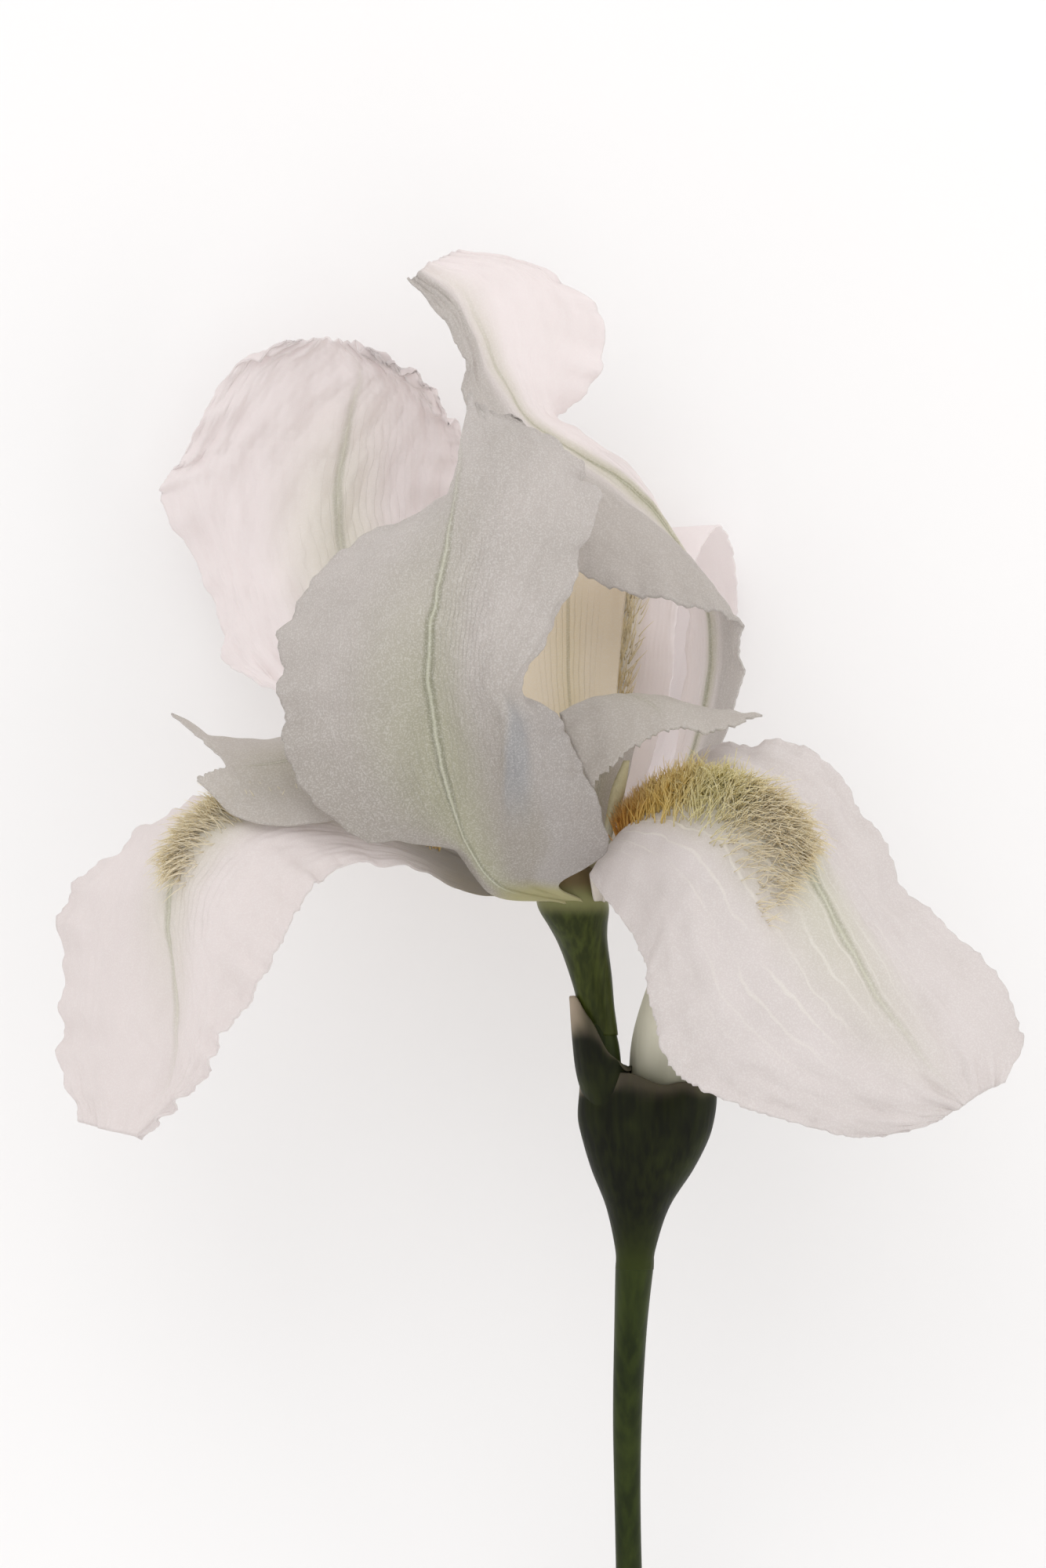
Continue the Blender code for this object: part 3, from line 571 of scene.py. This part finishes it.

# Back right standard: a white petal from the right of the rim. Its near half, painted grey as
# shade, folds forward and down, and above that it twists over the top of the head.

BACK_RIGHT_STANDARD = [
    [(10.5, 8, 0.5), (10.2, 8, -1.6), (9.4, 8, -3.8), (8.8, 8.2, -5.8), (8.2, 8.5, -7.5)],
    [(16.5, 16, 0.5), (15.5, 16.4, -3), (14, 17, -6), (12.8, 17.3, -9), (12, 17.5, -11.5)],
    [(20, 25, -0.5), (18.8, 25.6, -4.5), (16.6, 26, -8.5), (15, 26.6, -12), (14, 27, -15.5)],
    [(20.8, 32, -1.5), (19.8, 33.2, -6), (17.4, 35, -10.5), (15.6, 36, -15), (14, 37, -19)],
    [(20.4, 36.6, -2), (18.4, 39.4, -6), (15.6, 41.5, -12), (13.6, 43.2, -17), (11, 44.5, -22)],
    [(15.6, 37.8, 1), (13.4, 44.6, -5), (12.2, 47, -13), (10.6, 50, -17.5), (7, 51, -22)],
    [(8.4, 39.4, 2.5), (7.2, 48.8, -4), (7.4, 52.6, -12), (7.4, 55.4, -16.5), (4, 55, -21)],
    [(1.6, 42, 0.5), (1.2, 52.6, -4.5), (1.8, 56.7, -11), (2.2, 59.2, -15.5), (-0.5, 58.5, -20.5)],
    [(-6, 52, -1), (-5.8, 57, -4.5), (-5.6, 61.6, -9.5), (-4, 63.2, -14.5), (-2, 62.6, -20)],
    [(-13.7, 64, -3), (-12, 65.6, -5.5), (-9.6, 67.5, -9), (-5, 68.5, -14), (2.6, 67, -19)],
    [(-14.6, 71, -4.5), (-13.6, 72, -6.5), (-12.2, 73.5, -9), (-5, 75.5, -14.5), (3.2, 74, -19.5)],
    [(-17.6, 75.6, -7), (-16.2, 77, -8.2), (-14.8, 78.6, -9.8), (-8, 81, -14), (-2.4, 80.6, -17.5)],
    [(-21.6, 79.4, -9.4), (-20.6, 80.2, -10), (-19.4, 81.4, -10.8), (-17.4, 82.6, -12.4),
     (-15, 83.7, -14.5)],
]
# The grey over its near half is painted shade.
twist_white = petal_finish("twist_white", (0.95, 0.88, 0.88), (0.86, 0.79, 0.78), (0.42, 0.42, 0.22),
                           0.4, 36, green_width=0.12, green_reach=1.2, vein_tint=0.1,
                           near_shade=(0.5, 0.465, 0.43))
petal("standard_back_right", 110, BACK_RIGHT_STANDARD, twist_white, 37, ruffle=0.8, frill=9,
      dents=0.35)

# Right fall: the near petal that arches over and hangs out to the right, white with cream veins
# fanning from the beard, a green band along its midrib and a tip that turns under.

RIGHT_FALL = [
    [(1.8, 4, 7.6), (3, 5.4, 6), (4.6, 6.2, 4.4), (5.8, 6, 3), (6.8, 5.8, 1.8)],
    [(2.6, 2.2, 14), (5, 8, 11), (8.2, 11.4, 7.8), (9.2, 12.4, 5.4), (10.2, 13, 3.4)],
    [(6.2, -2.4, 22), (9.4, 6.5, 18), (14, 14.5, 12), (15.2, 17.6, 8), (16.4, 19.6, 4.4)],
    [(9, -8.5, 28), (14, 2.5, 26), (20.5, 14, 18), (21.8, 17.8, 13), (23, 21, 8)],
    [(10, -14.6, 32), (18, -5, 31), (26.5, 9.8, 22.5), (28.6, 13, 15.5), (31, 18.9, 10)],
    [(12.4, -21, 34), (22, -12, 34.5), (31, 2, 26), (33.8, 5.6, 18.5), (37.4, 10, 12)],
    [(19, -24.8, 35.5), (27, -17.5, 35.5), (35.2, -5.8, 28.5), (38.4, -1, 20), (42.4, 2, 14)],
    [(29, -28, 35), (34, -22, 34.5), (40, -13.5, 30.5), (44.4, -8.5, 23.5), (50.4, -5.5, 17)],
    [(38, -29.8, 33), (41, -25.5, 33), (45, -20.5, 31), (50.4, -16.5, 26.5), (56.8, -15.5, 21)],
    [(45.4, -27.8, 31), (47.6, -26.6, 31), (49.8, -25.2, 30.5), (52.2, -23.6, 29), (54.6, -22.6, 27)],
]
# Its white is darker than the far petals' white: painted shade.
near_shaded_white = petal_finish("near_shaded_white", (0.74, 0.685, 0.67), (0.65, 0.6, 0.575), (0.55, 0.555, 0.37),
                          0.32, 19, green_width=0.2, green_reach=1.05, vein_tint=0.6,
                          foot=(0.8, 0.74, 0.66), foot_reach=0.1)
petal("fall_right", 50, RIGHT_FALL, near_shaded_white, 41, ruffle=0.8, frill=7, dents=0.45,
      rib_side=-1)

# Left fall: a hanging petal on an olive brown haft that runs out to the left from the rim. Its
# white blade hangs with a ridge down it.

LEFT_FALL = [
    [(-8.4, 3.6, -1), (-8.3, 3.4, 0.8), (-8.1, 2.8, 2.5), (-7.9, 2, 3.9), (-7.5, 1.1, 5)],
    [(-17, 7.2, -2), (-16.6, 7.4, 1.8), (-16, 6.6, 5.5), (-15.2, 4.2, 7.3), (-14, 1.8, 8)],
    [(-27.2, 11.6, -3), (-26.6, 12, 3), (-25.4, 10.6, 8.8), (-23.6, 7.6, 11), (-21, 4.8, 11.6)],
    [(-38.6, 14, -2.5), (-37.6, 14.2, 5), (-36, 12.6, 12.4), (-33, 9, 16), (-28.8, 5.2, 18)],
    [(-47.6, 13.2, -2), (-46.6, 13.4, 8), (-45, 11.4, 15.5), (-40.5, 7, 21), (-34, 1.6, 24.5)],
    [(-54, 10.8, -1), (-52.4, 10.2, 9), (-50.4, 6.6, 18), (-45.5, 0.5, 25), (-37.8, -4.8, 29.5)],
    [(-61.6, 5, -2.5), (-56.8, 4.4, 8.5), (-52, -0.5, 19), (-47, -6.5, 26.5), (-41.4, -11.4, 31.5)],
    [(-65.6, -1.4, -3), (-59, -4, 8.5), (-51.4, -8, 20), (-48.4, -13.5, 27), (-45, -17, 31)],
    [(-65, -11, -4), (-60, -13, 8), (-50.8, -15.5, 20.5), (-49.8, -19.8, 26), (-47.6, -22, 29)],
    [(-66, -19.5, -2), (-60.5, -20.5, 8), (-51.8, -22, 19.5), (-52, -24.6, 23.5), (-51.6, -26, 25.5)],
    [(-62.8, -27.6, 5), (-60, -28.6, 10), (-56.4, -29.4, 16.5), (-55.8, -29.6, 19), (-55, -29.6, 21)],
]
# Its white is darker than the far petals' white: painted shade.
left_shaded_white = petal_finish("left_shaded_white", (0.84, 0.775, 0.765), (0.75, 0.685, 0.67), (0.58, 0.59, 0.38),
                          0.4, 40, green_reach=0.9, vein_tint=0.15, foot=(0.13, 0.1, 0.035),
                          foot_reach=0.33)
petal("fall_left", -70, LEFT_FALL, left_shaded_white, 53, ruffle=0.8, frill=8, dents=0.4,
      rib_side=-1)

# Back fall: the hanging petal behind the head, of the same thin white as the back left standard.
# It arches over behind the others and lies along the table.

BACK_FALL = [
    [(-2.5, 10, -8.6), (0.2, 10, -8.6), (3, 10, -8.6), (5, 10, -8.4), (6.6, 10, -8)],
    [(-3, 20, -13), (0.6, 20, -13.2), (4.5, 20, -13.2), (7.4, 20, -12.8), (10, 20, -12)],
    [(-3.2, 30, -20), (1, 30, -20.2), (5.5, 30, -20.2), (9, 29.6, -19.4), (12.2, 29, -18)],
    [(-4.5, 40, -28), (0.8, 40, -28), (6.4, 39.4, -28), (10, 39, -27.4), (13, 38, -26)],
    [(-9, 47, -36), (-1.2, 47.2, -35.6), (6.8, 46.4, -35), (12, 47.6, -34), (17.4, 48.2, -33)],
    [(-13, 44, -42), (-3.5, 46, -41.6), (6.8, 45.6, -41), (13.4, 46, -40), (20, 44.5, -38.6)],
    [(-15, 34, -44.4), (-4.6, 37.4, -44.6), (6.5, 37.6, -44.6), (13.6, 37.4, -44), (20.4, 35, -42.4)],
    [(-13, 24, -45), (-3.6, 26.6, -45.2), (6, 27, -45.3), (12.4, 27.4, -45), (18, 27, -44)],
    [(-7, 15, -44.6), (-1.2, 15.8, -45), (5.5, 16.2, -45.3), (9.4, 17, -45), (13, 19, -44.6)],
    [(2, 9.4, -43.8), (3.8, 8.6, -44), (5.5, 8.4, -44.2), (7, 8.8, -44), (8.4, 9.8, -43.8)],
]
petal("fall_back", 170, BACK_FALL, far_white, 67, ruffle=0.25, frill=7, dents=0.1,
      rib=0.15)

# Style arms: three cream ribbons that grow from the middle of the tube's rim, arch over the
# beards and end in toothed crests. The near two have their cream darkened as painted shade; the
# back one, seen through the gap, is a warmer cream, painted brighter as light.

ARM_RING = 1.3
ARM_CLAW = 0.9
ARM_SKIN = 0.3
ARM_ROWS = 90
ARM_LANES = 61
TOOTH_LENGTH = 0.012


def arm(name, azimuth, rows, finish, seed):
    """A style arm through its formers, lifted by a wave that grows with the cube of the distance
    from its middle and by dents, and its end rows drawn out and in along their length as teeth."""
    formers = [claw(azimuth, ARM_RING, ARM_CLAW, len(rows[0])), *rows]
    u = np.linspace(0, 1, ARM_ROWS)
    v = np.linspace(0, 1, ARM_LANES)
    points = surface(formers, u, v)
    normal = upright(points)
    long, wide = np.meshgrid(u, v, indexing="ij")
    side = 2 * wide - 1
    lift = 0.35 * np.abs(side) ** 3 * np.clip((long - 0.3) / 0.3, 0, 1) * waves(long, 5, seed)
    lift += 0.25 * np.clip((long - 0.4) / 0.6, 0, 1) * crinkle(long, wide, 0.3, seed + 1)
    points = points + normal * lift[..., None]
    forward = np.gradient(points, axis=0) * (ARM_ROWS - 1)
    teeth = TOOTH_LENGTH * np.clip((long - 0.9) / 0.1, 0, 1) * waves(wide, 13, seed + 2)
    points = points + forward * teeth[..., None]
    uv = np.stack([wide, long], axis=-1)
    faces = grid_faces(ARM_ROWS, ARM_LANES, False)
    return piece(name + "_ribbon", points.reshape(-1, 3), faces, uv.reshape(-1, 2), finish, name,
                 thick=ARM_SKIN)


# The near arms' cream is darkened as painted shade; the back arm's is painted brighter as light.
crest_shaded_cream = petal_finish("crest_shaded_cream", (0.56, 0.52, 0.475), (0.48, 0.44, 0.39), (0.4, 0.37, 0.24),
                           0.34, 24, green_width=0.4, green_reach=1.0, vein_tint=0.15,
                           foot=(0.45, 0.4, 0.22), foot_reach=0.3)
throat_lit_cream = petal_finish("throat_lit_cream", (0.92, 0.84, 0.7), (0.86, 0.77, 0.6), (0.85, 0.76, 0.52),
                            0.4, 20, vein_tint=0.1, foot=(0.75, 0.6, 0.35), foot_reach=0.4,
                            through_colour=(0.95, 0.88, 0.74))
arm("style_arm_right", 50, [
    [(-0.6, 8, 5), (0.8, 8.2, 3.8), (2, 8.2, 2.5), (3.1, 8, 1.2), (4, 7.6, -0.2)],
    [(-1.8, 16.5, 9), (0.6, 17, 7), (3, 17, 4.8), (5, 17, 2.8), (6.6, 16.6, 0.8)],
    [(-2, 24, 12.5), (1, 25.6, 10.6), (4.2, 26.2, 8.4), (7, 26, 6), (9.2, 25.4, 3.6)],
    [(-1.2, 22, 16), (4, 25, 14.2), (9, 26, 12), (13.6, 25.8, 9), (17, 24.8, 6)],
    [(1.8, 15.2, 18), (6.5, 19.6, 18), (12, 22.6, 16), (17.6, 22.2, 14), (23.6, 24.4, 12.4)],
], crest_shaded_cream, 71)
arm("style_arm_left", -70, [
    [(-6.6, 10, -1.5), (-6.4, 9.8, 0.3), (-6, 9.2, 2), (-5.6, 8.2, 3.4), (-5, 7, 4.6)],
    [(-16.6, 17.6, -0.6), (-16.5, 17.2, 2.6), (-16, 16, 5.4), (-15.2, 14.4, 7.6), (-14, 12.6, 9.2)],
    [(-27.6, 20.6, 1), (-27.4, 20.2, 6), (-27, 18.8, 10), (-26.4, 15.8, 13), (-25, 12.4, 15)],
    [(-37, 21.3, 3.6), (-36.8, 20.4, 8.6), (-36, 18.4, 13), (-35.4, 14.6, 16.4), (-34, 10.4, 18.4)],
    [(-45, 21.4, 4.6), (-43.4, 19.8, 9.8), (-42.4, 17.6, 15), (-42.6, 14.6, 18), (-42, 10.8, 20)],
    [(-52, 24.4, 4), (-47.4, 20.8, 9), (-44.6, 17.9, 15), (-46.2, 17.2, 17.2), (-48.6, 16, 18.8)],
], crest_shaded_cream, 83)
arm("style_arm_back", 170, [
    [(-3.4, 10, -3.9), (-1.8, 10, -3.7), (0, 10, -3.5), (1.6, 10, -3.3), (3, 10, -3.1)],
    [(-6, 20, -7.8), (-3.4, 20, -7.4), (-0.5, 20, -7), (2.2, 20, -6.7), (4.6, 20, -6.5)],
    [(-7.6, 30, -14.2), (-4.6, 30, -13.6), (-1, 30, -13.2), (2.4, 30, -12.8), (5.4, 30, -12.6)],
    [(-8, 39, -21), (-5, 39.2, -20.6), (-1, 39.4, -20.2), (3, 39.2, -20), (6.2, 39, -20)],
    [(-8.2, 46, -29), (-5, 46, -28.4), (-0.8, 46, -28), (3.6, 46, -28), (7, 46, -28)],
    [(-7.4, 51.4, -34), (-4.4, 49.6, -31.6), (-0.6, 48.2, -30), (3, 49.6, -31), (6, 51.4, -33)],
], throat_lit_cream, 97)

# Beards: a dense strip of soft tapering hairs on each fall, orange in the throat, then yellow,
# then pale green and at last white on the blade.

HAIR_RINGS = 5
HAIR_SIDES = 4
HAIR_THICK = 0.085
FIELD_ROWS = 240
FIELD_LANES = 120


def beard(name, azimuth, rows, start, stop, half_width, side, count, length, finish, seed):
    """Hairs rooted on a fall's face along its midrib.

    A hair's spine is its root, plus its aim times t, plus its bend times t squared. The aim is
    the face's upright plus some of the way along the fall and some to the side, and rings of
    four points round the spine, narrowing with t, are its skin.
    """
    formers = [claw(azimuth, RIM_RING, PETAL_CLAW, len(rows[0])), *rows]
    field = surface(formers, np.linspace(0, 1, FIELD_ROWS + 1), np.linspace(0, 1, FIELD_LANES + 1))
    up = side * upright(field)
    ahead = np.gradient(field, axis=0)
    ahead /= np.maximum(np.linalg.norm(ahead, axis=-1, keepdims=True), 1e-9)
    chance = np.random.default_rng(seed)
    step = chance.random(count)
    lane = chance.normal(0, 0.42, count).clip(-1, 1)
    i = ((start + (stop - start) * step) * FIELD_ROWS).astype(int)
    j = ((0.5 + half_width * lane) * FIELD_LANES).astype(int)
    cross = np.cross(ahead[i, j], up[i, j])
    root = field[i, j] + up[i, j] * 0.1 + cross * chance.normal(0, 0.12, (count, 1))
    lean = chance.normal(0.35, 0.3, (count, 1)) + 0.35 * step[:, None]
    splay = (0.7 * lane + chance.normal(0, 0.3, count))[:, None]
    aim = up[i, j] + ahead[i, j] * lean + cross * splay
    aim /= np.linalg.norm(aim, axis=-1, keepdims=True)
    reach = length * chance.uniform(0.6, 1.15, (count, 1)) * (0.55 + 0.45 * np.sin(
        np.pi * np.clip(step, 0.1, 0.9)))[:, None]
    bend = ahead[i, j] * chance.normal(0.25, 0.25, (count, 1))
    bend = bend + cross * chance.normal(0, 0.1, (count, 1))
    t = np.linspace(0, 1, HAIR_RINGS)[None, :, None]
    spine = root[:, None] + (aim * reach)[:, None] * t + (bend * reach)[:, None] * t**2
    thick = HAIR_THICK * (1 - 0.7 * t**1.5)
    one = np.cross(aim, up[i, j] + 0.3)
    one /= np.maximum(np.linalg.norm(one, axis=-1, keepdims=True), 1e-9)
    two = np.cross(aim, one)
    angle = np.linspace(0, ROUND, HAIR_SIDES, endpoint=False)[None, None, :, None]
    around = one[:, None, None] * np.cos(angle) + two[:, None, None] * np.sin(angle)
    points = spine[:, :, None] + around * thick[:, :, None]
    per_hair = HAIR_RINGS * HAIR_SIDES
    faces = grid_faces(HAIR_RINGS, HAIR_SIDES, True)
    offsets = (np.arange(count) * per_hair)[:, None, None]
    ends = np.array([list(range(HAIR_SIDES)), list(range(per_hair - HAIR_SIDES, per_hair))])
    every = np.concatenate([faces + offsets, ends + offsets], axis=1).reshape(-1, 4)
    uv = np.stack(np.broadcast_arrays(step[:, None, None], t[..., 0][:, :, None] + np.zeros(
        (count, 1, HAIR_SIDES))), axis=-1)
    return piece(name + "_hairs", points.reshape(-1, 3), every, uv.reshape(-1, 2), finish,
                 name)


def hair_finish(name, root, middle, end, turns):
    """Hair colour that passes from root to middle to end and then white along the beard."""
    hair = Finish(name, 0.6, 0.5, (0.95, 0.86, 0.6))
    reach, tip = hair.map_place()
    first = hair.blend(reach.ramp(0.02, turns[0]), root, middle)
    paler = hair.blend(reach.ramp(turns[0], turns[1]), first, end)
    whiter = hair.blend(reach.ramp(turns[1], turns[2]), paler, (0.95, 0.92, 0.86))
    hair.colour(hair.blend(tip.ramp(0.6, 1.0) * 0.3, whiter, (1.0, 0.93, 0.7)))
    return hair


gold_hair = hair_finish("gold_hair", (0.85, 0.42, 0.07), (0.98, 0.78, 0.28), (0.95, 0.95, 0.66),
                        (0.3, 0.5, 0.75))
pale_hair = hair_finish("pale_hair", (0.95, 0.7, 0.3), (0.95, 0.86, 0.62), (0.95, 0.92, 0.8),
                        (0.3, 0.5, 0.8))
beard("beard_right", 50, RIGHT_FALL, 0.15, 0.56, 0.14, 1, 3000, 4.4, gold_hair, 101)
beard("beard_left", -70, LEFT_FALL, 0.2, 0.58, 0.11, 1, 1700, 4.2, pale_hair, 103)
beard("beard_back", 170, BACK_FALL, 0.14, 0.5, 0.14, -1, 800, 2.6, pale_hair, 107)

# Stamens: one under each style arm, grown from the tube's rim. Each is a thin pale filament that
# ends in a longer, thicker cream anther.

pollen = Finish("pollen_cream", 0.75)
_, up = pollen.map_place()
grain = pollen.speckle(0.3, 3.0)
anther = pollen.blend(grain * 0.6, (0.66, 0.6, 0.36), (0.82, 0.77, 0.56))
pollen.colour(pollen.blend(up.ramp(0.35, 0.5), (0.75, 0.74, 0.62), anther))
pollen.bump(grain.socket, 0.12)

STAMEN_STEPS = 40
STAMEN_SIDES = 20
for stamen, foot, rows in (
    ("stamen_right", (2.22, 0.3, 1.86), [(3.4, 6.5, 3.4, 0.5, 0.5), (4.6, 11.5, 5.2, 0.8, 0.8),
                                         (5.4, 15, 7, 0.9, 0.9), (6.4, 18.5, 9, 0.4, 0.4)]),
    ("stamen_left", (-2.73, 0.3, 0.99), [(-6.8, 6.2, 2.4, 0.5, 0.5), (-11.5, 10, 3.8, 0.8, 0.8),
                                         (-15.5, 12.2, 5, 0.9, 0.9), (-19.5, 13.8, 6.2, 0.4, 0.4)]),
    ("stamen_back", (0.5, 0.3, -2.86), [(1.2, 8, -6, 0.5, 0.5), (1.5, 14, -8.2, 0.8, 0.8),
                                        (1.8, 18, -9.8, 0.9, 0.9), (2.2, 22, -12, 0.4, 0.4)]),
):
    sections = np.array([(*foot, 0.45, 0.45), *rows])
    sections[:, :3] = spread(sections[:, :3])
    stalk(stamen + "_skin", sections, STAMEN_STEPS, pollen, sides=STAMEN_SIDES)

# The plain pale table that the flower lies on, the soft light over it and the camera that looks
# straight down.

TABLE_HALF = 4
table_mesh = bpy.data.meshes.new("table")
table_corners = [(x * TABLE_HALF, y * TABLE_HALF, 0) for x, y in ((-1, -1), (1, -1), (1, 1), (-1, 1))]
table_mesh.from_pydata(table_corners, [], [(0, 1, 2, 3)])
table = bpy.data.objects.new("table", table_mesh)
bpy.context.scene.collection.objects.link(table)
paper = Finish("pale_table", 0.9)
paper.shader.inputs["Base Color"].default_value = (0.93, 0.92, 0.92, 1)
table_mesh.materials.append(paper.material)

world = bpy.data.worlds.new("studio")
bpy.context.scene.world = world
world.use_nodes = True
world.node_tree.nodes["Background"].inputs["Color"].default_value = (1, 0.995, 0.99, 1)
world.node_tree.nodes["Background"].inputs["Strength"].default_value = 1.0


def soft_light(name, place, watts, size):
    """A square area light at place, in metres from the heart, aimed at it."""
    light = bpy.data.lights.new(name, "AREA")
    light.energy = watts
    light.size = size
    lamp = bpy.data.objects.new(name, light)
    lamp.location = HEART + np.array(place)
    aim = bpy.data.objects.new(name + "_aim", None)
    aim.location = HEART
    track = lamp.constraints.new("TRACK_TO")
    track.target = aim
    for thing in (lamp, aim):
        bpy.context.scene.collection.objects.link(thing)


soft_light("top_light", (-0.25, 0.6, 0.75), 0.9, 0.6)
soft_light("side_light", (0.7, 0.1, 0.35), 0.6, 0.4)

CAMERA_HEIGHT = 1125 * MM
camera_data = bpy.data.cameras.new("camera")
camera_data.lens = 200
camera_data.clip_end = 20
camera = bpy.data.objects.new("camera", camera_data)
camera.location = HEART + np.array([HEAD_MIDDLE[0] * MM, HEAD_MIDDLE[1] * MM, CAMERA_HEIGHT])
bpy.context.scene.collection.objects.link(camera)
bpy.context.scene.camera = camera
bpy.context.scene.view_settings.view_transform = "Standard"

bpy.context.view_layer.update()
